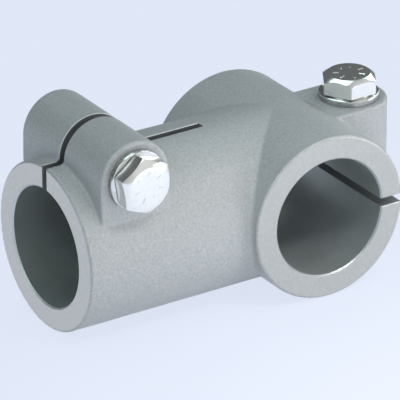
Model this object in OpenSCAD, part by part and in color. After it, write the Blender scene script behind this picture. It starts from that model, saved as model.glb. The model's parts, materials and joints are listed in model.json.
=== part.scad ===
// Angle tube clamp: a cast tee that grips two round tubes at right angles.
// Frame: the origin is where the two socket axes cross, at the middle of the cross bore.
// The cross socket runs along Y, the stem socket runs to -X, and +Z is up.
// Millimetres. The part lies on the undersides of its two sockets.

/* [Sockets] */
// Bore of both sockets, the diameter of the tubes they hold
bore_d = 40; // [34:0.5:46]
// Wall of both sockets
wall = 8; // [5:0.25:10]
// Distance from the cross socket's axis to the stem socket's open face
stem_reach = 87.5; // [80:0.5:130]
// Length of the cross socket
cross_len = 63; // [50:1:100]
// Wall at the blind end of the stem socket, where the cross bore passes nearest
end_wall = 5; // [3:0.5:9]
// Rounding of the outer edge at each open end
rim_round = 1.2; // [0.4:0.1:2.5]
// Chamfer at each mouth of the bores
mouth_chamfer = 0.6; // [0.2:0.1:1.5]
// Radius of the cast fillet where the stem meets the cross socket
saddle_fillet = 2; // [1:0.5:8]

/* [Clamp bosses] */
// Width of the sawn slits
slit_w = 2.8; // [1.5:0.1:4]
// Uncut metal between the end of the stem's slit and the cross socket
slit_land = 1; // [0.5:0.5:6]
// Metal between a bore and its bolt hole
bolt_web = 3; // [1.5:0.25:5]
// Metal outside the washer, which sets the width of a boss
boss_margin = 2.5; // [1:0.25:5]
// Distance from the middle of the slit to each end of a boss
boss_half = 24; // [21:0.5:26]
// Distance from the stem's open face to its boss
boss_setback = 6.5; // [2:0.5:15]
// Rounding of the edges at the ends of a boss
boss_round = 1.6; // [0.5:0.1:2.4]
// Radius of the cast fillet at the foot of a boss
foot_fillet = 1; // [0.5:0.1:3]

/* [Bolts, washers and nuts] */
// Thread diameter of the clamp bolts
bolt_d = 10; // [8:0.5:12]
// Width across the flats of the bolt heads
head_af = 17; // [16:0.5:19]
// Height of the bolt heads
head_h = 6.4; // [5:0.1:9]
// Diameter of the flat on top of a bolt head, inside its chamfer
head_flat_d = 14; // [11:0.5:15.5]
// Height of the round bearing face under a bolt head
head_face_h = 0.5; // [0.2:0.1:1]
// Turn of the stem bolt's head, from a corner that points along the stem
stem_head_turn = 21; // [0:1:59]
// Turn of the cross bolt's head, from a corner that points along the cross socket
cross_head_turn = 30; // [0:1:59]
// Outer diameter of the washers
washer_d = 20; // [18:0.5:24]
// Thickness of the washers
washer_t = 2; // [1:0.1:3]
// Width across the flats of the nuts
nut_af = 17; // [16:0.5:18]
// Height of the nuts
nut_h = 8; // [6:0.5:9]
// Depth of the nut pockets, from the far end of a boss
pocket_depth = 8.5; // [8:0.25:13]
// Length of bolt that shows past the nut
tip_proud = 0.5; // [0:0.25:3]
// Chamfer at the tip of a bolt
tip_chamfer = 1; // [0.5:0.1:1.5]

/* [Clearances] */
// Clearance of the bolt holes, on the diameter
hole_clear = 1; // [0.4:0.1:1.5]
// Clearance of the washers on the bolts, on the diameter
washer_clear = 0.5; // [0.2:0.1:1]
// Clearance of the nut pockets, across the flats
pocket_clear = 0.4; // [0.1:0.1:0.8]
// Clearance between the bolt's outside and the nut's plain bore, on the diameter
thread_clear = 0.1; // [0.05:0.05:0.3]

/* [Hidden] */

$fn = 96;
// Overlap of cuts past the faces they open
over = 1;
// Slope of the chamfers on bolt heads and nuts, from their flat faces
hex_chamfer_slope = 30;
// Share of the width across flats that the bearing face and the nut's flats keep
bearing_share = 0.93;

bore_r = bore_d / 2;
outer_r = bore_r + wall;
hole_d = bolt_d + hole_clear;
// Height of a bolt's axis above the axis of the socket it clamps
bolt_offset = bore_r + bolt_web + hole_d / 2;
boss_r = washer_d / 2 + boss_margin;
stem_bolt_x = -stem_reach + boss_setback + boss_r;
stem_bore_end_x = -(bore_r + end_wall);
slit_end_x = -(outer_r + slit_land);
pocket_floor = boss_half - pocket_depth;
// Bolt length under the head, through washer, boss and nut
bolt_len = washer_t + boss_half + pocket_floor + nut_h + tip_proud;

// Least radius of the saddle fillet, where the cross socket is hardly longer than the stem is wide
saddle_least = 0.25;
// Radius of the saddle fillet, kept clear of the rounded rims of the cross socket
saddle_r = min(saddle_fillet, max(cross_len / 2 - rim_round - outer_r, saddle_least));
// Number of steps along the saddle fillet, and across its hollow
saddle_steps = 20;
hollow_steps = 5;
// The saddle fillet fades out short of the top and bottom, where the sockets are tangent
saddle_end = 76;
// Depth that the saddle fillet is sunk, so that its edges cut the sockets cleanly
saddle_sink = 0.06;
// Depth of the saddle fillet's root inside the sockets' walls
saddle_root = wall / 2;

// Places a clamp drawn with its socket along X, its boss on +Z and its bolt head towards -Y
module at_stem_clamp() {
    translate([stem_bolt_x, 0, 0])
        children();
}

module at_cross_clamp() {
    rotate([-90, 0, -90])
        children();
}

// Turns a shape drawn along +Z so that it runs from the bolt head's side, -Y, to +Y
module along_bolt() {
    translate([0, 0, bolt_offset])
        rotate([-90, 0, 0])
            children();
}

// Solid rod on +Z with a rounded edge at its top
module rimmed_rod(length) {
    rotate_extrude() {
        square([outer_r - rim_round, length]);
        square([outer_r, length - rim_round]);
        translate([outer_r - rim_round, length - rim_round])
            intersection() {
                circle(rim_round);
                square(rim_round);
            }
    }
}

// Bore from the origin along +Z, with a chamfered mouth at its far end
module mouth_bore(length) {
    cylinder(d = bore_d, h = length + over);
    translate([0, 0, length - mouth_chamfer])
        cylinder(r1 = bore_r, r2 = bore_r + mouth_chamfer + over, h = mouth_chamfer + over);
}

// Rectangle with rounded corners, centred on the origin
module rounded_rectangle(width, length, radius) {
    square([width - 2 * radius, length], center = true);
    square([width, length - 2 * radius], center = true);
    for (x = [-1, 1], y = [-1, 1])
        translate([x * (width / 2 - radius), y * (length / 2 - radius)])
            circle(radius);
}

// Boss that carries a bolt: upright sides, a round back about the bolt and rounded ends
module clamp_boss() {
    linear_extrude(bolt_offset)
        rounded_rectangle(2 * boss_r, 2 * boss_half, boss_round);
    translate([0, 0, bolt_offset])
        rotate([90, 0, 0])
            rotate_extrude()
                intersection() {
                    rounded_rectangle(2 * boss_r, 2 * boss_half, boss_round);
                    translate([0, -boss_half])
                        square([boss_r, 2 * boss_half]);
                }
    foot_fillets();
}

// Hollow fillets between the upright sides of a boss and the socket under it
module foot_fillets() {
    half_width = boss_r + foot_fillet + over;
    half_length = boss_half - boss_round;
    intersection() {
        for (side = [-1, 1])
            rotate([0, side * 90, 0])
                translate([0, 0, boss_r])
                    rotate_extrude()
                        translate([bore_r, 0])
                            difference() {
                                square([wall + foot_fillet, foot_fillet]);
                                translate([wall + foot_fillet, foot_fillet])
                                    circle(foot_fillet);
                            }
        translate([-half_width, -half_length, 0])
            cube([2 * half_width, 2 * half_length, outer_r + foot_fillet + over]);
    }
}

// Point on a rolling ball's centre line, at an angle above the middle of the saddle
function ball_centre(angle) =
    let (reach = outer_r + saddle_r - saddle_sink)
    [-reach * cos(angle), -reach * cos(angle), reach * sin(angle)];

// Direction from the ball's centre to its contact with the stem, and with the cross socket
function to_stem(angle) = [0, cos(angle), -sin(angle)];
function to_cross(angle) = [cos(angle), 0, -sin(angle)];

// Points of one section through the fillet: the hollow arc, then the root inside the walls
function saddle_section(angle) =
    let (u = to_stem(angle))
    let (v = to_cross(angle))
    let (spread = acos(u * v))
    let (root_r = outer_r - saddle_root)
    concat(
        [for (i = [0 : hollow_steps])
            let (share = i / hollow_steps)
            let (way = (sin((1 - share) * spread) * u + sin(share * spread) * v) / sin(spread))
            ball_centre(angle) + saddle_r * way],
        [[-root_r * cos(angle), -root_r * cos(angle), root_r * sin(angle)]]);

// Hollow strip along the crease on the -Y side of the stem
module saddle_strip() {
    section_size = hollow_steps + 2;
    angles = [for (i = [0 : saddle_steps]) saddle_end * (2 * i / saddle_steps - 1)];
    points = [for (angle = angles) each saddle_section(angle)];
    last = saddle_steps * section_size;
    sides = [for (i = [0 : saddle_steps - 1], k = [0 : section_size - 1])
        let (next = (k + 1) % section_size)
        let (low = i * section_size)
        let (high = low + section_size)
        each [[low + k, low + next, high + next], [low + k, high + next, high + k]]];
    ends = [
        [for (k = [section_size - 1 : -1 : 0]) k],
        [for (k = [0 : section_size - 1]) last + k]];
    polyhedron(points, concat(sides, ends));
}

// Sawn slit through a boss and its socket's wall, along the socket from one place to another
module slit(from, to) {
    translate([from, -slit_w / 2, 0])
        cube([to - from, slit_w, bolt_offset + boss_r + over]);
}

// Bolt hole across a boss, and the nut's pocket in its far end
module bolt_way() {
    along_bolt() {
        translate([0, 0, -boss_half - over])
            cylinder(d = hole_d, h = 2 * boss_half);
        translate([0, 0, pocket_floor])
            hexagon(nut_af + pocket_clear, pocket_depth + over);
    }
}

// Hexagonal prism on +Z, with two corners on the X axis
module hexagon(across_flats, height) {
    cylinder(d = across_flats / cos(30), h = height, $fn = 6);
}

// Round blank whose ends are chamfered at the slope of a bolt head, on +Z
module chamfered_blank(across_flats, height, low_flat_d, high_flat_d) {
    corner_r = across_flats / cos(30) / 2 + over;
    low_rise = (corner_r - low_flat_d / 2) * tan(hex_chamfer_slope);
    high_rise = (corner_r - high_flat_d / 2) * tan(hex_chamfer_slope);
    rotate_extrude()
        polygon([
            [0, 0],
            [low_flat_d / 2, 0],
            [corner_r, low_rise],
            [corner_r, height - high_rise],
            [high_flat_d / 2, height],
            [0, height]]);
}

// Hexagon bolt: its head stands on the washer, and its shank ends past the nut
module hexagon_bolt(head_turn) {
    bearing_r = head_af * bearing_share / 2;
    along_bolt()
        translate([0, 0, -boss_half - washer_t]) {
            rotate([180, 0, head_turn])
                intersection() {
                    translate([0, 0, head_face_h])
                        hexagon(head_af, head_h - head_face_h);
                    chamfered_blank(head_af, head_h, 2 * head_af, head_flat_d);
                }
            rotate_extrude()
                polygon([
                    [0, -head_h / 2],
                    [bearing_r, -head_h / 2],
                    [bearing_r, 0],
                    [bolt_d / 2, 0],
                    [bolt_d / 2, bolt_len - tip_chamfer],
                    [bolt_d / 2 - tip_chamfer, bolt_len],
                    [0, bolt_len]]);
        }
}

module flat_washer() {
    along_bolt()
        translate([0, 0, -boss_half - washer_t])
            difference() {
                cylinder(d = washer_d, h = washer_t);
                translate([0, 0, -over])
                    cylinder(d = bolt_d + washer_clear, h = washer_t + 2 * over);
            }
}

module hexagon_nut() {
    flat_d = nut_af * bearing_share;
    along_bolt()
        translate([0, 0, pocket_floor])
            difference() {
                intersection() {
                    hexagon(nut_af, nut_h);
                    chamfered_blank(nut_af, nut_h, flat_d, flat_d);
                }
                translate([0, 0, -over])
                    cylinder(d = bolt_d + thread_clear, h = nut_h + 2 * over);
            }
}

module clamp_body() {
    color("#a9b0b1")
        difference() {
            union() {
                rotate([0, -90, 0])
                    rimmed_rod(stem_reach);
                for (turn = [-90, 90])
                    rotate([turn, 0, 0])
                        rimmed_rod(cross_len / 2);
                saddle_strip();
                mirror([0, 1, 0])
                    saddle_strip();
                at_stem_clamp()
                    clamp_boss();
                at_cross_clamp()
                    clamp_boss();
            }
            for (turn = [-90, 90])
                rotate([turn, 0, 0])
                    mouth_bore(cross_len / 2);
            translate([stem_bore_end_x, 0, 0])
                rotate([0, -90, 0])
                    mouth_bore(stem_reach + stem_bore_end_x);
            slit(-stem_reach - over, slit_end_x);
            rotate([-90, 0, -90])
                slit(-cross_len / 2 - over, cross_len / 2 + over);
            at_stem_clamp()
                bolt_way();
            at_cross_clamp()
                bolt_way();
        }
}

module stem_bolt() {
    color("#d9dcdd")
        at_stem_clamp()
            hexagon_bolt(stem_head_turn);
}

module stem_washer() {
    color("#cdd1d2")
        at_stem_clamp()
            flat_washer();
}

module stem_nut() {
    color("#c4c8c9")
        at_stem_clamp()
            hexagon_nut();
}

module cross_bolt() {
    color("#d9dcdd")
        at_cross_clamp()
            hexagon_bolt(cross_head_turn);
}

module cross_washer() {
    color("#cdd1d2")
        at_cross_clamp()
            flat_washer();
}

module cross_nut() {
    color("#c4c8c9")
        at_cross_clamp()
            hexagon_nut();
}

clamp_body();
stem_bolt();
stem_washer();
stem_nut();
cross_bolt();
cross_washer();
cross_nut();
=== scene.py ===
"""Looks of the angle tube clamp: its casting, bolts, washers and nuts, with a floor, light and camera."""

import json
import math

import bpy
import numpy as np
from mathutils import Matrix, Vector


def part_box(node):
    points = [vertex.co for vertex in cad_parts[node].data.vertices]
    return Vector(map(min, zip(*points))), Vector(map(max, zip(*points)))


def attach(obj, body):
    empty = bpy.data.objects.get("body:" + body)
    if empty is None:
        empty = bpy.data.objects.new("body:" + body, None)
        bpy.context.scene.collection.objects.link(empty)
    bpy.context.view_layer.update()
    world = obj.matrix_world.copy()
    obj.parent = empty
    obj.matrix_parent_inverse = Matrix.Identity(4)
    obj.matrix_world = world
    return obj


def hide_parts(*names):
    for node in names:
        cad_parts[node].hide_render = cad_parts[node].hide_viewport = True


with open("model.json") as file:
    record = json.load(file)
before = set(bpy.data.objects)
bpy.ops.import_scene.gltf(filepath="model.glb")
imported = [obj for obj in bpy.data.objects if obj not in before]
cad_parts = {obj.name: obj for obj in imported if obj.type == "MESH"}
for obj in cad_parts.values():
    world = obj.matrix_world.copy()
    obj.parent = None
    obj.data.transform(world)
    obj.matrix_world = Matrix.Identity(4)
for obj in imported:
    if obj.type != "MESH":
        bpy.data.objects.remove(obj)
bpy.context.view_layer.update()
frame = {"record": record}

# Millimetres are used up to the moment a mesh is made
MM = 0.001


def box_mm(node):
    """Lowest and highest corner of a CAD node, in millimetres."""
    low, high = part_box(node)
    return np.array(low) / MM, np.array(high) / MM


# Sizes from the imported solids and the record
BODY_LOW, BODY_HIGH = box_mm("clamp_body")
STEM_REACH = -BODY_LOW[0]
OUTER_R = -BODY_LOW[2]
CROSS_HALF = BODY_HIGH[1]
BORE_R = frame["record"]["mounts"][0]["dims"]["r_mm"]
WASHER_LOW, WASHER_HIGH = box_mm("stem_washer")
WASHER_R = (WASHER_HIGH[0] - WASHER_LOW[0]) / 2
WASHER_T = WASHER_HIGH[1] - WASHER_LOW[1]
STEM_BOLT_X = (WASHER_LOW[0] + WASHER_HIGH[0]) / 2
BOLT_OFFSET = (WASHER_LOW[2] + WASHER_HIGH[2]) / 2
BOSS_HALF = -WASHER_HIGH[1]
BOSS_R = BODY_HIGH[0] - BOLT_OFFSET

# Cast roundings, sawn slits and drilled holes
RIM_ROUND = 0.9
MOUTH_CHAMFER = 0.5
SADDLE_FILLET = 1.7
BOSS_ROUND = 0.9
FOOT_FILLET = 1.0
SLIT_W = 2.8
SLIT_LAND = 1.0
SLIT_CHAMFER = 0.25
HOLE_R = 5.5
# Blind end of the stem's bore
BORE_END_X = -25.0
# How far a cutter reaches past the casting
PAST = 4.0
# How far a cutter for filed edges starts inside the slit, and how far it ends outside the casting
LIP_INSET = 0.2
LIP_PAST = 0.3
# How far it runs past the two sides of a socket's wall, and its steps over a boss
LIP_REACH = 1
LIP_STEPS = 41
BORE_SIDES = 160
HOLE_SIDES = 64
# Height of the casting's slow unevenness, its shortest wave and how much longer the longest is, the count
# of waves and the seed of their draws
UNEVEN_HEIGHT = 0.035
UNEVEN_WAVE = 9.0
UNEVEN_STRETCH = 3
UNEVEN_COUNT = 14
UNEVEN_SEED = 4
# Cell of the grid on which the cast blank is meshed, and moves that carry its points to the surface
CELL = 0.6
NET_MOVES = 6
# Guards against division by nothing, and against normals that are all but parallel
TINY = 1e-9
MOST_ALIGNED = 0.999
# Edges sharper than this many degrees stay sharp
CAST_SMOOTH = 28
PLATED_SMOOTH = 24

# Hexagon bolts, washers and nuts
BOLT_R = 5.0
HEX_AF = 17.0
HEAD_H = 6.4
HEAD_FLAT_R = 7.0
HEAD_FACE_H = 0.5
BEARING_R = 7.9
HEX_CORNER_R = 9.68
HEX_SLOPE = math.tan(math.radians(30))
HEX_EDGE = 0.12
HEX_STEPS = 9
# Inner rings of a head's top, as shares of its flat
TOP_RINGS = (0.3, 0.7)
BEARING_EDGE = 0.1
NECK_FLARE = 0.2
NECK_DROP = 0.25
BOLT_LEN = 50.0
TIP_CHAMFER = 1.0
TIP_FLAT = 3.0
# Thread, with its room inside the bolt's radius, its rings to a turn, and its flanks, crests and run-out
THREAD_PITCH = 1.5
THREAD_DEPTH = 0.92
THREAD_LEN = 26.0
THREAD_CLEAR = 0.05
THREAD_STEPS = 12
THREAD_STEEP = 0.75
THREAD_CREST = 0.19
THREAD_RUN_OUT = 0.4
NUT_H = 8.0
NUT_BORE_R = 5.05
NUT_SINK = 0.45
POCKET_AF = 17.4
POCKET_DEPTH = 8.5
# Corners of a pocket are clipped at this many degrees from the middle of a flat
POCKET_CLIP = 29
POCKET_STEPS = 3
WASHER_HOLE_R = 5.25
WASHER_SIDES = 96
# Broken edges of a washer, and its rounded upper one with the inset of its middle
WASHER_EDGE = 0.15
WASHER_ROUND = 0.45
WASHER_ROUND_MID = 0.13
# Plain raised bars on a head's top
BAR_COUNT = 7
BAR_W = 0.55
BAR_LEN = 1.9
BAR_REACH = 4.4
BAR_H = 0.16
# Turn of a head, from a corner that points along its socket
HEAD_TURNS = {"stem": -21.0, "cross": -30.0}

# Each clamp's axes: along its socket, out through its boss, and towards its bolt head
X_AXIS, Y_AXIS, Z_AXIS = np.eye(3)
CLAMP_AXES = {"stem": (X_AXIS, Z_AXIS, -Y_AXIS), "cross": (-Y_AXIS, X_AXIS, Z_AXIS)}
CLAMP_FEET = {"stem": np.array([STEM_BOLT_X, 0, 0]), "cross": np.zeros(3)}

# Camera, with its angles in degrees and its lens on a 36 mm sensor
CAMERA_TARGET = np.array([-22.0, 11.2, -5.05])
CAMERA_DISTANCE = 1641.0
CAMERA_AZIMUTH = 32.7
CAMERA_ELEVATION = 25.49
CAMERA_ROLL = -0.23
CAMERA_LENS = 454.7
CAMERA_SENSOR = 36
# Nearest and farthest distance that the camera sees, in metres
CAMERA_NEAR = 0.1
CAMERA_FAR = 50


# Meshes


def mesh_object(name, points, faces, materials, index=0):
    """Object from points in millimetres and faces of corner numbers.

    The material number is one for all faces, or a list with one for each.
    """
    mesh = bpy.data.meshes.new(name)
    mesh.from_pydata((np.asarray(points) * MM).tolist(), [], [list(map(int, f)) for f in faces])
    for material in materials:
        mesh.materials.append(material)
    mesh.polygons.foreach_set("material_index", np.broadcast_to(index, len(mesh.polygons)).astype(np.int32))
    mesh.update()
    made = bpy.data.objects.new(name, mesh)
    bpy.context.scene.collection.objects.link(made)
    return made


def ring(radius, height, angles):
    """Closed ring of points about the Z axis. Radius and height may differ from angle to angle."""
    heights = np.broadcast_to(height, angles.shape)
    return np.stack([radius * np.cos(angles), radius * np.sin(angles), heights], 1)


def profile_rings(profile, angles):
    """Rings at the radius and height pairs of a profile."""
    return [ring(radius, height, angles) for radius, height in profile]


def circle_angles(count):
    """Equal steps round a circle."""
    return np.arange(count) * 2 * math.pi / count


def skin_rings(rings, looped=False):
    """Points and faces of a skin over rings of equal counts, looped or with its ends fanned shut."""
    count = len(rings[0])
    points = np.concatenate(rings)
    around = np.arange(count)
    ahead = (around + 1) % count
    pairs = list(zip(range(len(rings) - 1), range(1, len(rings))))
    if looped:
        pairs.append((len(rings) - 1, 0))
    faces = []
    for low, high in pairs:
        lower = low * count
        upper = high * count
        faces += list(np.stack([lower + around, upper + around, upper + ahead, lower + ahead], 1))
    if not looped:
        last = (len(rings) - 1) * count
        points = np.concatenate([points, [rings[0].mean(0)], [rings[-1].mean(0)]])
        first_pole = len(points) - 2
        last_pole = len(points) - 1
        faces += [(first_pole, i, j) for i, j in zip(around, ahead)]
        faces += [(last_pole, last + j, last + i) for i, j in zip(around, ahead)]
    return points, faces


def lathe(profile, segments):
    """Points and faces of a solid turned about Z, from radius and height pairs given from the top down."""
    return skin_rings(profile_rings(profile, circle_angles(segments)))


def placed(points, columns, origin):
    """Points moved from a local frame, given by its axes, to the row frame."""
    return np.asarray(points) @ np.array(columns) + origin


def smooth_by_angle(mesh, degrees):
    """Smooth shading that breaks at edges sharper than an angle."""
    mesh.shade_smooth()
    mesh.set_sharp_from_angle(angle=math.radians(degrees))


# Cast blank, as a distance field


def rounded_bar(points, core, axis, span, radius, shaded_rim):
    """Distance to a bar along an axis, and its normal. The section is a disc swept along a core line."""
    start = core[0]
    along = core[1] - start
    share = np.clip((points - start) @ along / max(along @ along, TINY), 0, 1)
    offset = points - start - share[:, None] * along
    height = offset @ axis - sum(span) / 2
    side = offset - (offset @ axis)[:, None] * axis
    reach = np.maximum(np.linalg.norm(side, axis=1), TINY)
    out = np.stack([reach - radius + shaded_rim, np.abs(height) - (span[1] - span[0]) / 2 + shaded_rim], 1)
    over = np.maximum(out, 0)
    length = np.maximum(np.linalg.norm(over, axis=1), TINY)
    distance = np.where(out.max(1) > 0, length, out.max(1)) - shaded_rim
    lean = np.where(out.max(1)[:, None] > 0, over / length[:, None], np.eye(2)[out.argmax(1)])
    normal = lean[:, :1] * side / reach[:, None] + lean[:, 1:] * np.sign(height)[:, None] * axis
    return distance, normal


def filleted(first, second, radius):
    """Union of two fields, with the hollow that a ball of a radius leaves when it rolls between them."""
    a, normal_a = first
    b, normal_b = second
    cosine = np.clip((normal_a * normal_b).sum(1), -MOST_ALIGNED, MOST_ALIGNED)
    spread = 1 - cosine ** 2
    to_a = (a - radius - cosine * (b - radius)) / spread
    to_b = (b - radius - cosine * (a - radius)) / spread
    reach = np.sqrt(np.maximum((a - radius) * to_a + (b - radius) * to_b, TINY))
    hollow = (to_a < 0) & (to_b < 0)
    distance = np.where(hollow, radius - reach, np.minimum(a, b))
    inward = -(to_a[:, None] * normal_a + to_b[:, None] * normal_b) / reach[:, None]
    nearer = np.where((a < b)[:, None], normal_a, normal_b)
    return distance, np.where(hollow[:, None], inward, nearer)


def unevenness(points):
    """Slow waves of a sand-cast skin, and their slopes. They die out towards the sockets' machined faces."""
    behind = np.minimum(points[:, 0] + STEM_REACH, CROSS_HALF - np.abs(points[:, 1]))
    fade = np.clip(behind / RIM_ROUND - 0.5, 0, 1)
    draws = np.random.default_rng(UNEVEN_SEED)
    height = np.zeros(len(points))
    slope = np.zeros((len(points), 3))
    for _ in range(UNEVEN_COUNT):
        way = draws.normal(size=3)
        pace = 2 * math.pi / (UNEVEN_WAVE * draws.uniform(1, UNEVEN_STRETCH)) * way / np.linalg.norm(way)
        phase = points @ pace + draws.uniform(0, 2 * math.pi)
        height += np.sin(phase) * UNEVEN_HEIGHT / math.sqrt(UNEVEN_COUNT)
        slope += np.cos(phase)[:, None] * pace * UNEVEN_HEIGHT / math.sqrt(UNEVEN_COUNT)
    return height * fade, slope * fade[:, None]


def cast_blank(points):
    """Distance to the solid blank, and its normal: two rods that cross, and a boss on each."""
    middle = np.zeros(3)
    stem = rounded_bar(points, (middle, middle), X_AXIS, (-STEM_REACH, 0), OUTER_R, RIM_ROUND)
    cross = rounded_bar(points, (middle, middle), Y_AXIS, (-CROSS_HALF, CROSS_HALF), OUTER_R, RIM_ROUND)
    body = filleted(stem, cross, SADDLE_FILLET)
    for clamp, (_, out, head) in CLAMP_AXES.items():
        foot = CLAMP_FEET[clamp]
        core = (foot + BOSS_R * out, foot + BOLT_OFFSET * out)
        boss = rounded_bar(points, core, head, (-BOSS_HALF, BOSS_HALF), BOSS_R, BOSS_ROUND)
        body = filleted(body, boss, FOOT_FILLET)
    return body


def skin_net(low, high):
    """Points and quads on the blank's surface: one point in each grid cell that the surface crosses."""
    # Two empty cells lie all round the casting
    axes = [np.arange(a - 2 * CELL, b + 3 * CELL, CELL) for a, b in zip(low, high)]
    shape = tuple(len(a) for a in axes)
    field = np.empty(shape)
    for i, x in enumerate(axes[0]):
        sheet = np.stack(np.meshgrid([x], axes[1], axes[2], indexing="ij"), -1).reshape(-1, 3)
        field[i] = cast_blank(sheet)[0].reshape(shape[1:])
    solid = field < 0
    corners = [solid[i:shape[0] - 1 + i, j:shape[1] - 1 + j, k:shape[2] - 1 + k]
               for i in (0, 1) for j in (0, 1) for k in (0, 1)]
    crossed = np.any(corners, axis=0) & ~np.all(corners, axis=0)
    number = np.full(crossed.shape, -1)
    number[crossed] = np.arange(crossed.sum())
    points = np.argwhere(crossed) * CELL + [a[0] + CELL / 2 for a in axes]
    quads = []
    for axis in range(3):
        turned = np.moveaxis(solid, axis, 0)
        cells = np.moveaxis(number, axis, 0)
        change = turned[:-1, 1:-1, 1:-1] != turned[1:, 1:-1, 1:-1]
        i, j, k = np.nonzero(change)
        quad = np.stack([cells[i, j, k], cells[i, j + 1, k], cells[i, j + 1, k + 1], cells[i, j, k + 1]], 1)
        turn = turned[i, j + 1, k + 1] ^ (axis == 1)
        quads.append(np.where(turn[:, None], quad, quad[:, ::-1]))
    for _ in range(NET_MOVES):
        distance, normal = cast_blank(points)
        points -= np.clip(distance, -CELL, CELL)[:, None] * normal
    height, _ = unevenness(points)
    return points + height[:, None] * normal, np.concatenate(quads)


# Cuts in the casting


def subtract(target, cutter):
    """Cuts one solid out of another and removes the cutter."""
    cut = target.modifiers.new("cut", "BOOLEAN")
    cut.operation = "DIFFERENCE"
    cut.solver = "MANIFOLD"
    cut.object = cutter
    graph = bpy.context.evaluated_depsgraph_get()
    mesh = bpy.data.meshes.new_from_object(target.evaluated_get(graph))
    target.modifiers.clear()
    old = target.data
    target.data = mesh
    bpy.data.meshes.remove(old)
    bpy.data.objects.remove(cutter)


def bore_profile(low, high, low_mouth, high_mouth):
    """Profile of a bore's cutter, from the top down, with chamfers where it has mouths."""
    wide = BORE_R + MOUTH_CHAMFER + PAST
    top = [(wide, high + PAST), (BORE_R, high - MOUTH_CHAMFER)] if high_mouth else [(BORE_R, high)]
    bottom = [(BORE_R, low + MOUTH_CHAMFER), (wide, low - PAST)] if low_mouth else [(BORE_R, low)]
    return top + bottom


def box_faces():
    """Quads of a box whose corners run as the bits of their numbers, with Z last."""
    return [(0, 1, 3, 2), (4, 6, 7, 5), (0, 4, 5, 1), (2, 3, 7, 6), (0, 2, 6, 4), (1, 5, 7, 3)]


def slit_points(start, end):
    """Corners of a slit's cutter in a clamp's frame, from one place along its socket to another."""
    return [(along, out, across) for along in (start, end) for out in (0, BOLT_OFFSET + BOSS_R + PAST)
            for across in (-SLIT_W / 2, SLIT_W / 2)]


def lip_cutter(path):
    """Cutter that files a slit's edges, along a path of places and outward ways in a clamp's frame."""
    half = SLIT_W / 2 - LIP_INSET
    wide = half + SLIT_CHAMFER + LIP_INSET + LIP_PAST
    rings = []
    for place, outward in path:
        low = np.append(np.array(place) - np.array(outward) * (SLIT_CHAMFER + LIP_INSET), 0)
        high = np.append(np.array(place) + np.array(outward) * LIP_PAST, 0)
        rings.append(np.array([low - half * Z_AXIS, low + half * Z_AXIS,
                               high + wide * Z_AXIS, high - wide * Z_AXIS]))
    return skin_rings(rings)


def lip_paths(clamp):
    """Paths of a clamp's filed edges: over the boss, along the tube and down its socket's slit faces."""
    low, high = {"stem": (-STEM_REACH - STEM_BOLT_X, -OUTER_R - SLIT_LAND - STEM_BOLT_X),
                 "cross": (-CROSS_HALF, CROSS_HALF)}[clamp]
    top = math.sqrt(OUTER_R ** 2 - (SLIT_W / 2) ** 2)
    arc = [((math.cos(a) * BOSS_R, BOLT_OFFSET + math.sin(a) * BOSS_R), (math.cos(a), math.sin(a)))
           for a in np.linspace(math.pi, 0, LIP_STEPS)]
    clear = BOSS_R + FOOT_FILLET
    tube = [[((start, top), (0, 1)), ((end, top), (0, 1))] for start, end in ((low, -clear), (clear, high))]
    faces = [(low, -1)] + ([(high, 1)] if clamp == "cross" else [])
    wall = (BORE_R - LIP_REACH, OUTER_R + LIP_REACH)
    mouths = [[((along, out), (way, 0)) for out in wall[::-way]] for along, way in faces]
    return [arc] + tube + mouths


def hexagon_angles(turn, across_flats, corner_r, steps):
    """Angles round a hexagon with clipped corners, and its radius at each."""
    half = math.acos(across_flats / 2 / corner_r)
    sector = np.linspace(-half, half, steps)
    angles = np.concatenate([sector + math.radians(60 * i + 30) for i in range(6)]) + math.radians(turn)
    return angles, np.tile(across_flats / 2 / np.cos(sector), 6)


def cut_casting(casting, materials):
    """Bores, slits, bolt holes, nut pockets and filed edges."""
    # Bores, bolt holes and nut pockets get a darker colour that is painted shade inside them
    bore_painted_shade = 1
    # Sawn slit faces get a darker colour that is painted shade inside the narrow slits
    sawn = 2
    filed = 3
    cross_bore = lathe(bore_profile(-CROSS_HALF, CROSS_HALF, True, True), BORE_SIDES)
    stem_bore = lathe(bore_profile(-STEM_REACH, BORE_END_X, True, False), BORE_SIDES)
    # Wall and mouth of the stem's bore, and then the two ends of its cutter
    stem_bands = np.repeat([bore_painted_shade, filed, bore_painted_shade, filed], BORE_SIDES)
    cutters = [(cross_bore, (X_AXIS, -Z_AXIS, Y_AXIS), np.zeros(3), bore_painted_shade),
               (stem_bore, (Y_AXIS, Z_AXIS, X_AXIS), np.zeros(3), stem_bands)]
    slits = {"stem": (-STEM_REACH - PAST - STEM_BOLT_X, -OUTER_R - SLIT_LAND - STEM_BOLT_X),
             "cross": (-CROSS_HALF - PAST, CROSS_HALF + PAST)}
    hole = lathe([(HOLE_R, BOSS_HALF + PAST), (HOLE_R, POCKET_DEPTH - BOSS_HALF)], HOLE_SIDES)
    corner_r = POCKET_AF / 2 / math.cos(math.radians(POCKET_CLIP))
    angles, radius = hexagon_angles(0, POCKET_AF, corner_r, POCKET_STEPS)
    heights = (POCKET_DEPTH - BOSS_HALF, -BOSS_HALF - PAST)
    pocket = skin_rings([ring(radius, height, angles) for height in heights])
    for clamp, axes in CLAMP_AXES.items():
        bolt_line = CLAMP_FEET[clamp] + BOLT_OFFSET * axes[1]
        cutters += [((slit_points(*slits[clamp]), box_faces()), axes, CLAMP_FEET[clamp], sawn),
                    (hole, axes, bolt_line, bore_painted_shade), (pocket, axes, bolt_line, bore_painted_shade)]
        cutters += [(lip_cutter(path), axes, CLAMP_FEET[clamp], filed) for path in lip_paths(clamp)]
    for (points, faces), axes, origin, index in cutters:
        subtract(casting, mesh_object("cutter", placed(points, axes, origin), faces, materials, index))


def read_values(items, name, count, kind=float):
    """One property of all the faces, corners or points of a mesh."""
    values = np.empty(count, kind)
    items.foreach_get(name, values)
    return values


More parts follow.
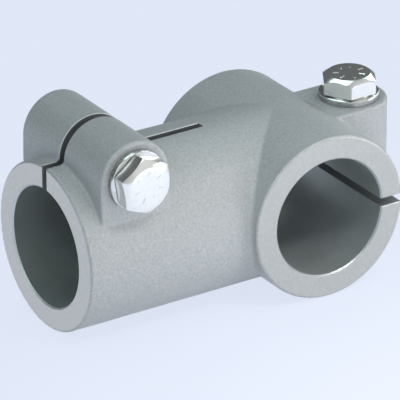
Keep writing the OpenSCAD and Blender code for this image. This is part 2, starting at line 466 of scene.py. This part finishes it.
def finish_normals(casting):
    """Gives the cast skin the blank's own normals."""
    mesh = casting.data
    mesh.update()
    index = read_values(mesh.polygons, "material_index", len(mesh.polygons), int)
    smooth_by_angle(mesh, CAST_SMOOTH)
    vertex = read_values(mesh.loops, "vertex_index", len(mesh.loops), int)
    normals = read_values(mesh.corner_normals, "vector", len(mesh.loops) * 3).reshape(-1, 3)
    sizes = read_values(mesh.polygons, "loop_total", len(mesh.polygons), int)
    skin = np.repeat(index == 0, sizes)
    places = read_values(mesh.vertices, "co", len(mesh.vertices) * 3).reshape(-1, 3) / MM
    _, normal = cast_blank(places)
    _, slope = unevenness(places)
    normal = normal - slope
    normal /= np.linalg.norm(normal, axis=1)[:, None]
    normals[skin] = normal[vertex[skin]]
    mesh.normals_split_custom_set(normals.tolist())


def make_casting(materials):
    """Cast tee with its machined cuts."""
    casting = mesh_object("cast_tee", *skin_net(BODY_LOW, BODY_HIGH), materials)
    cut_casting(casting, materials)
    finish_normals(casting)
    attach(casting, "root")
    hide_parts("clamp_body")


# Bolts, washers and nuts


def hexagon_rings(radius, angles, height, flat_r, bottom, edge):
    """Rings down a hexagon's chamfered top and sides, with small breaks at the edges."""
    fall = (radius - flat_r) * HEX_SLOPE
    profile = [(flat_r - edge, height), (flat_r + edge, height - edge * HEX_SLOPE),
               (radius - edge, height - fall), (radius, height - fall - edge),
               (radius, bottom + edge), (radius - edge, bottom)]
    return profile_rings(profile, angles)


def thread_rings(top, bottom, angles):
    """Rings down an external thread."""
    rings = []
    for height in np.arange(top, bottom, -THREAD_PITCH / THREAD_STEPS):
        phase = (height / THREAD_PITCH - angles / (2 * math.pi)) % 1
        depth = np.clip(4 * np.abs(phase - 0.5) * THREAD_STEEP - THREAD_CREST, 0, 1)
        fade = min(1, (top - height) / THREAD_PITCH, (height - bottom) / THREAD_PITCH + THREAD_RUN_OUT)
        rings.append(ring(BOLT_R - THREAD_CLEAR - THREAD_DEPTH * fade * depth, height, angles))
    return rings


def raised_bars():
    """Points and faces of short plain bars that stand in a circle on a head's top."""
    shells = []
    for turn in circle_angles(BAR_COUNT):
        corners = [(across, along, height) for across in (-BAR_W / 2, BAR_W / 2)
                   for along in (BAR_REACH - BAR_LEN / 2, BAR_REACH + BAR_LEN / 2)
                   for height in (HEAD_H - BAR_H, HEAD_H + BAR_H)]
        columns = [(math.cos(turn), math.sin(turn), 0), (-math.sin(turn), math.cos(turn), 0), (0, 0, 1)]
        shells.append((placed(corners, columns, np.zeros(3)), box_faces()))
    return shells


def join_shells(shells):
    """Points and faces of several shells as one list."""
    points = []
    faces = []
    start = 0
    for shell_points, shell_faces in shells:
        points.append(shell_points)
        faces += [[i + start for i in face] for face in shell_faces]
        start += len(shell_points)
    return np.concatenate(points), faces


def bolt_shells(turn):
    """Hexagon bolt with its bearing plane at zero, its head up and its thread down."""
    angles, radius = hexagon_angles(turn, HEX_AF, HEX_CORNER_R, HEX_STEPS)
    top = [ring(HEAD_FLAT_R * share, HEAD_H, angles) for share in TOP_RINGS]
    head = hexagon_rings(radius, angles, HEAD_H, HEAD_FLAT_R, HEAD_FACE_H, HEX_EDGE)
    neck = [(BEARING_R, HEAD_FACE_H), (BEARING_R, BEARING_EDGE), (BEARING_R - BEARING_EDGE, 0),
            (BOLT_R + NECK_FLARE, 0), (BOLT_R, -NECK_DROP)]
    shank = profile_rings(neck, angles)
    thread = thread_rings(THREAD_LEN - BOLT_LEN, TIP_CHAMFER - BOLT_LEN, angles)
    tip = profile_rings([(BOLT_R - TIP_CHAMFER, -BOLT_LEN), (BOLT_R - TIP_FLAT, -BOLT_LEN)], angles)
    return join_shells([skin_rings(top + head + shank + thread + tip)] + raised_bars())


def washer_shell():
    """Stamped flat washer that stands on zero, its upper outer edge rounded."""
    profile = [(WASHER_HOLE_R, WASHER_T - WASHER_EDGE), (WASHER_HOLE_R + WASHER_EDGE, WASHER_T),
               (WASHER_R - WASHER_ROUND, WASHER_T),
               (WASHER_R - WASHER_ROUND_MID, WASHER_T - WASHER_ROUND_MID),
               (WASHER_R, WASHER_T - WASHER_ROUND), (WASHER_R, WASHER_EDGE),
               (WASHER_R - WASHER_EDGE, 0), (WASHER_HOLE_R + WASHER_EDGE, 0), (WASHER_HOLE_R, WASHER_EDGE)]
    return skin_rings(profile_rings(profile, circle_angles(WASHER_SIDES)), looped=True)


def nut_shell():
    """Hexagon nut from zero down, with countersunk ends."""
    angles, radius = hexagon_angles(0, HEX_AF, HEX_CORNER_R, HEX_STEPS)
    fall = (radius - BEARING_R) * HEX_SLOPE
    outer = [(BEARING_R, 0), (radius - HEX_EDGE, -fall), (radius, -fall - HEX_EDGE),
             (radius, fall + HEX_EDGE - NUT_H), (radius - HEX_EDGE, fall - NUT_H), (BEARING_R, -NUT_H)]
    bore = [(NUT_BORE_R + NUT_SINK, -NUT_H), (NUT_BORE_R, NUT_SINK - NUT_H),
            (NUT_BORE_R, -NUT_SINK), (NUT_BORE_R + NUT_SINK, 0)]
    return skin_rings(profile_rings(outer + bore, angles), looped=True)


def make_hardware(materials):
    """Both clamps' bolts, washers and nuts. A washer's outer wall is sheared and painted darker as shade,
    the rest of it is smooth.
    """
    smooth = 0
    sheared_painted_shade = 1
    # The fifth of a washer's nine bands is its outer wall, painted darker as shade
    washer_finish_and_shade = np.repeat([smooth] * 4 + [sheared_painted_shade] + [smooth] * 4, WASHER_SIDES)
    for clamp, axes in CLAMP_AXES.items():
        line = CLAMP_FEET[clamp] + BOLT_OFFSET * axes[1]
        shells = {"bolt": (bolt_shells(HEAD_TURNS[clamp]), BOSS_HALF + WASHER_T, smooth),
                  "washer": (washer_shell(), BOSS_HALF, washer_finish_and_shade),
                  "nut": (nut_shell(), POCKET_DEPTH - BOSS_HALF, smooth)}
        for kind, ((points, faces), height, material_bands) in shells.items():
            where = placed(points, axes, line + height * axes[2])
            piece = mesh_object(f"{clamp}_{kind}_plated", where, faces, materials[kind], material_bands)
            smooth_by_angle(piece.data, PLATED_SMOOTH)
            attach(piece, "root")
            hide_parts(f"{clamp}_{kind}")


# Materials


# Looks of a metal: dark and light colour, metallic share, least and most roughness, mottle in waves to the
# metre, and grain in waves to the metre with its depth in millimetres
FACED = ((0.565, 0.565, 0.525), (0.625, 0.625, 0.58), 1.0, (0.26, 0.36), 900, (2600, 0.02))
SKIN = ((0.372, 0.385, 0.392), (0.488, 0.502, 0.51), 0.4, (0.5, 0.65), 1300, (2000, 0.05))
# Walls of bores, bolt holes and nut pockets: a darker colour that is painted shade inside them
BORE_PAINTED_SHADE = ((0.36, 0.39, 0.385), (0.44, 0.47, 0.465), 0.7, (0.4, 0.55), 90, (900, 0.02))
# Sawn slit faces: a darker colour that is painted shade inside the narrow slits
SLIT_PAINTED_SHADE = ((0.30, 0.31, 0.315), (0.38, 0.39, 0.395), 0.8, (0.4, 0.55), 120, (1200, 0.04))
FILED = ((0.62, 0.645, 0.64), (0.70, 0.725, 0.72), 1.0, (0.55, 0.65), 900, (2600, 0.01))
BOLT_ZINC = ((0.91, 0.91, 0.88), (0.95, 0.95, 0.92), 0.92, (0.10, 0.2), 700, (1100, 0.012))
WASHER_ZINC = ((0.68, 0.69, 0.67), (0.82, 0.83, 0.81), 0.95, (0.14, 0.24), 300, (900, 0.012))
# Washer outer walls: sheared zinc, rougher than the faces, with a darker colour that is painted shade on the
# side
SHEARED_ZINC_PAINTED_SHADE = ((0.26, 0.27, 0.265), (0.52, 0.53, 0.52), 0.95, (0.24, 0.4), 600, (900, 0.03))
NUT_ZINC = ((0.46, 0.47, 0.46), (0.60, 0.61, 0.60), 0.95, (0.18, 0.3), 300, (1000, 0.015))
# Noise runs between these two values over most of a surface
NOISE_LOW = 0.3
NOISE_HIGH = 0.7
MOTTLE_DETAIL = 4
MOTTLE_ROUGHNESS = 0.55
GRAIN_DETAIL = 3
GRAIN_ROUGHNESS = 0.7
# Depths behind an open face, in millimetres, between which the faced metal gives way to the skin
FACED_NEAR = 0.03
FACED_FAR = 0.14


def new_material(name):
    """Node material with nothing but its output."""
    material = bpy.data.materials.new(name)
    material.use_nodes = True
    tree = material.node_tree
    tree.nodes.remove(tree.nodes["Principled BSDF"])
    return material, tree


def add_node(tree, kind, **values):
    """Node with its properties and its input values set by name."""
    node = tree.nodes.new(kind)
    for name, value in values.items():
        if name in node.inputs:
            node.inputs[name].default_value = value
        else:
            setattr(node, name, value)
    return node


def noise_of(tree, place, scale, detail, roughness):
    """Noise over the object's own coordinates, in waves to the metre."""
    noise = add_node(tree, "ShaderNodeTexNoise", Scale=scale, Detail=detail, Roughness=roughness)
    tree.links.new(place, noise.inputs["Vector"])
    return noise.outputs["Fac"]


def ramp_of(tree, value, low, high, dark, light):
    """Colour that runs from dark to light between two values."""
    ramp = add_node(tree, "ShaderNodeValToRGB")
    tree.links.new(value, ramp.inputs["Fac"])
    for stop, place, colour in zip(ramp.color_ramp.elements, (low, high), (dark, light)):
        stop.position = place
        stop.color = (*colour, 1)
    return ramp.outputs["Color"]


def range_of(tree, value, low, high, to_low, to_high):
    """Value carried from one range to another."""
    carried = add_node(tree, "ShaderNodeMapRange")
    for name, number in zip(("From Min", "From Max", "To Min", "To Max"), (low, high, to_low, to_high)):
        carried.inputs[name].default_value = number
    tree.links.new(value, carried.inputs["Value"])
    return carried.outputs["Result"]


def bump_of(tree, height, distance):
    """Normal from a height."""
    bump = add_node(tree, "ShaderNodeBump", Strength=1.0, Distance=distance)
    tree.links.new(height, bump.inputs["Height"])
    return bump.outputs["Normal"]


def larger_of(tree, first, second):
    """Larger of two values."""
    larger = add_node(tree, "ShaderNodeMath", operation="MAXIMUM")
    tree.links.new(first, larger.inputs[0])
    tree.links.new(second, larger.inputs[1])
    return larger.outputs["Value"]


def metal_shader(tree, dark, light, metallic, roughness, mottle, grain):
    """Metal with mottled colour, uneven gloss and a fine grain."""
    shader = add_node(tree, "ShaderNodeBsdfPrincipled", Metallic=metallic)
    place = add_node(tree, "ShaderNodeTexCoord").outputs["Object"]
    waves, depth = grain
    blotch = noise_of(tree, place, mottle, MOTTLE_DETAIL, MOTTLE_ROUGHNESS)
    fine = noise_of(tree, place, waves, GRAIN_DETAIL, GRAIN_ROUGHNESS)
    colour = ramp_of(tree, blotch, NOISE_LOW, NOISE_HIGH, dark, light)
    tree.links.new(colour, shader.inputs["Base Color"])
    gloss = range_of(tree, fine, NOISE_LOW, NOISE_HIGH, *roughness)
    tree.links.new(gloss, shader.inputs["Roughness"])
    tree.links.new(bump_of(tree, fine, depth * MM), shader.inputs["Normal"])
    return shader.outputs["BSDF"]


def metal(name, *looks):
    """Material of one metal."""
    material, tree = new_material(name)
    tree.links.new(metal_shader(tree, *looks), tree.nodes["Material Output"].inputs["Surface"])
    return material


def faced_mask(tree):
    """One on the three open faces of the sockets, nought a little way behind them."""
    place = add_node(tree, "ShaderNodeSeparateXYZ")
    tree.links.new(add_node(tree, "ShaderNodeTexCoord").outputs["Object"], place.inputs["Vector"])
    across = add_node(tree, "ShaderNodeMath", operation="ABSOLUTE")
    tree.links.new(place.outputs["Y"], across.inputs[0])
    near = FACED_NEAR * MM
    far = FACED_FAR * MM
    stem = range_of(tree, place.outputs["X"], -STEM_REACH * MM + near, -STEM_REACH * MM + far, 1, 0)
    cross = range_of(tree, across.outputs["Value"], CROSS_HALF * MM - far, CROSS_HALF * MM - near, 0, 1)
    return larger_of(tree, stem, cross)


def cast_skin():
    """Blasted skin, with the faced metal of the sockets' open faces."""
    material, tree = new_material("blasted_skin")
    blend = add_node(tree, "ShaderNodeMixShader")
    tree.links.new(faced_mask(tree), blend.inputs["Fac"])
    tree.links.new(metal_shader(tree, *SKIN), blend.inputs[1])
    tree.links.new(metal_shader(tree, *FACED), blend.inputs[2])
    tree.links.new(blend.outputs["Shader"], tree.nodes["Material Output"].inputs["Surface"])
    return material


def casting_materials():
    """Skin, bores and sawn slits, whose darker colours are painted shade, and their filed edges, in the
    order of their numbers.
    """
    return [cast_skin(), metal("bore_painted_shade", *BORE_PAINTED_SHADE), metal("sawn", *SLIT_PAINTED_SHADE), metal("filed_edge", *FILED)]


def plated_materials():
    """Zinc on bolts, on the faces of washers and on their outer walls, which are painted darker as shade,
    and on nuts.
    """
    bolt = metal("bright_zinc_bolt", *BOLT_ZINC)
    face = metal("bright_zinc_washer", *WASHER_ZINC)
    shaded_rim = metal("sheared_zinc_washer_painted_shade", *SHEARED_ZINC_PAINTED_SHADE)
    nut = metal("bright_zinc_nut", *NUT_ZINC)
    return {"bolt": [bolt], "washer": [face, shaded_rim], "nut": [nut]}


# Floor, light and camera


# Colour of the floor to the camera and in mirrors, its own paper colour, and the share of the first
FLOOR_COLOUR = (0.765, 0.82, 0.955)
PAPER_COLOUR = (0.92, 0.93, 0.95)
FLOOR_LIFT = 0.9
FLOOR_HALF = 6000
# Room under the sockets for their unevenness
FLOOR_GAP = 0.1
# Light from behind and from in front, and where the one gives way to the other
WORLD_BACK = (0.076, 0.080, 0.083)
WORLD_FRONT = (0.65, 0.662, 0.665)
WORLD_RAMP = (0.46, 0.9)
# Way to the brightest part of the surroundings
WORLD_WAY = (0.50, -0.80, 0.33)
# Square soft lamps: place, aim and side in metres, spread in degrees, power in watts and colour
COOL = (0.82, 1.0, 1.02)
PLAIN = (1.0, 1.0, 1.0)
PART = (0.0, 0.0, 0.0)
LAMPS = {"right_low": ((1.5, -0.9, 0.2), PART, 0.9, 180, 8.0, PLAIN),
         "right_back": ((1.2, 0.5, 0.9), PART, 0.7, 180, 3.4, COOL),
         "left_high": ((-1.1, -0.2, 1.0), PART, 0.9, 180, 6.0, COOL),
         "above": ((-0.1, 0.5, 1.4), PART, 0.9, 180, 4.2, COOL),
         "front": ((0.12, -0.55, 0.6), (0.06, -0.36, 0), 0.3, 40, 2.4, PLAIN)}


def make_floor():
    """Wide pale floor under the sockets. Camera, mirror and glass rays see it lifted to a plain colour."""
    corners = ((-1, -1), (1, -1), (1, 1), (-1, 1))
    points = [(x * FLOOR_HALF, y * FLOOR_HALF, -OUTER_R - FLOOR_GAP) for x, y in corners]
    material, tree = new_material("pale_floor")
    paper = add_node(tree, "ShaderNodeBsdfDiffuse", Color=(*PAPER_COLOUR, 1))
    glow = add_node(tree, "ShaderNodeEmission", Color=(*FLOOR_COLOUR, 1), Strength=1.0)
    rays = add_node(tree, "ShaderNodeLightPath")
    seen = rays.outputs["Is Camera Ray"]
    for ray in ("Is Glossy Ray", "Is Transmission Ray"):
        seen = larger_of(tree, seen, rays.outputs[ray])
    share = add_node(tree, "ShaderNodeMath", operation="MULTIPLY")
    tree.links.new(seen, share.inputs[0])
    share.inputs[1].default_value = FLOOR_LIFT
    blend = add_node(tree, "ShaderNodeMixShader")
    tree.links.new(share.outputs["Value"], blend.inputs["Fac"])
    tree.links.new(paper.outputs["BSDF"], blend.inputs[1])
    tree.links.new(glow.outputs["Emission"], blend.inputs[2])
    tree.links.new(blend.outputs["Shader"], tree.nodes["Material Output"].inputs["Surface"])
    mesh_object("floor", points, [(0, 1, 2, 3)], [material])


def make_world():
    """Soft surrounding light, brighter in front than behind."""
    world = bpy.data.worlds.new("studio")
    world.use_nodes = True
    bpy.context.scene.world = world
    tree = world.node_tree
    way = add_node(tree, "ShaderNodeTexCoord").outputs["Generated"]
    front = add_node(tree, "ShaderNodeVectorMath", operation="DOT_PRODUCT")
    front.inputs[1].default_value = WORLD_WAY
    tree.links.new(way, front.inputs[0])
    share = range_of(tree, front.outputs["Value"], -1, 1, 0, 1)
    colour = ramp_of(tree, share, *WORLD_RAMP, WORLD_BACK, WORLD_FRONT)
    tree.links.new(colour, tree.nodes["Background"].inputs["Color"])
    tree.nodes["Background"].inputs["Strength"].default_value = 1.0


def make_lamps():
    """Soft lamps, most of them aimed at the part and one at the floor before it."""
    for name, (place, aim, side, spread, power, colour) in LAMPS.items():
        lamp = bpy.data.lights.new(name, "AREA")
        lamp.size = side
        lamp.spread = math.radians(spread)
        lamp.energy = power
        lamp.color = colour
        holder = bpy.data.objects.new(name, lamp)
        holder.location = place
        holder.rotation_euler = (Vector(aim) - Vector(place)).to_track_quat("-Z", "Y").to_euler()
        bpy.context.scene.collection.objects.link(holder)


def camera_axes():
    """Camera's right, up and back directions."""
    azimuth, elevation, roll = map(math.radians, (CAMERA_AZIMUTH, CAMERA_ELEVATION, CAMERA_ROLL))
    back = np.array([-math.sin(azimuth) * math.cos(elevation), -math.cos(azimuth) * math.cos(elevation),
                     math.sin(elevation)])
    right = np.array([math.cos(azimuth), -math.sin(azimuth), 0])
    up = np.cross(back, right)
    return (right * math.cos(roll) + up * math.sin(roll), up * math.cos(roll) - right * math.sin(roll), back)


def make_camera():
    """Long lens at the photograph's viewing angle."""
    right, up, back = camera_axes()
    data = bpy.data.cameras.new("camera")
    data.lens = CAMERA_LENS
    data.sensor_width = CAMERA_SENSOR
    data.clip_start = CAMERA_NEAR
    data.clip_end = CAMERA_FAR
    camera = bpy.data.objects.new("camera", data)
    turn = Matrix(np.stack([right, up, back], 1).tolist()).to_4x4()
    camera.matrix_world = Matrix.Translation((CAMERA_TARGET + CAMERA_DISTANCE * back) * MM) @ turn
    bpy.context.scene.collection.objects.link(camera)
    bpy.context.scene.camera = camera


bpy.context.scene.view_settings.view_transform = "Standard"
make_casting(casting_materials())
make_hardware(plated_materials())
make_floor()
make_world()
make_lamps()
make_camera()
